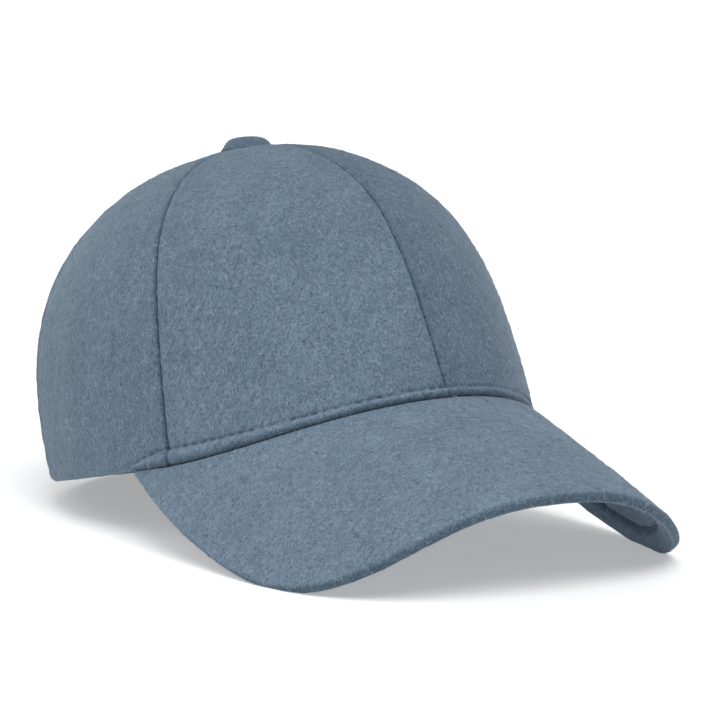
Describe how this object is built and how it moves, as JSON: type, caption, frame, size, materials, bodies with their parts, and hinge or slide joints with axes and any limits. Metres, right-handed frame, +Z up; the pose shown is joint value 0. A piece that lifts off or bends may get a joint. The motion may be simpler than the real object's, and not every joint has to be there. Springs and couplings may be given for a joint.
{
  "type": "wool peaked cap",
  "caption": "Unlined wool cap with a crown of sewn panels, a covered button on top, an inner sweatband and a curved, wool-covered brim.",
  "frame": {"origin": "on the surface that the cap rests on, under the middle of its box", "axes": "+Z up; the brim points to -Y and the back of the crown to +Y; +X is the wearer's left"},
  "size_m": [0.175, 0.285, 0.1378],
  "materials": {
    "wool": "brushed wool melton, slate blue-grey, matt with a short soft nap",
    "sweatband_twill": "smooth cotton twill, matt, darker slate"
  },
  "bodies": {
    "root": {"panel_front_right": "wool", "panel_front_left": "wool", "panel_side_right": "wool", "panel_side_left": "wool", "panel_back_right": "wool", "panel_back_left": "wool", "brim": "wool", "button": "wool", "sweatband": "sweatband_twill"}
  },
  "joints": []
}
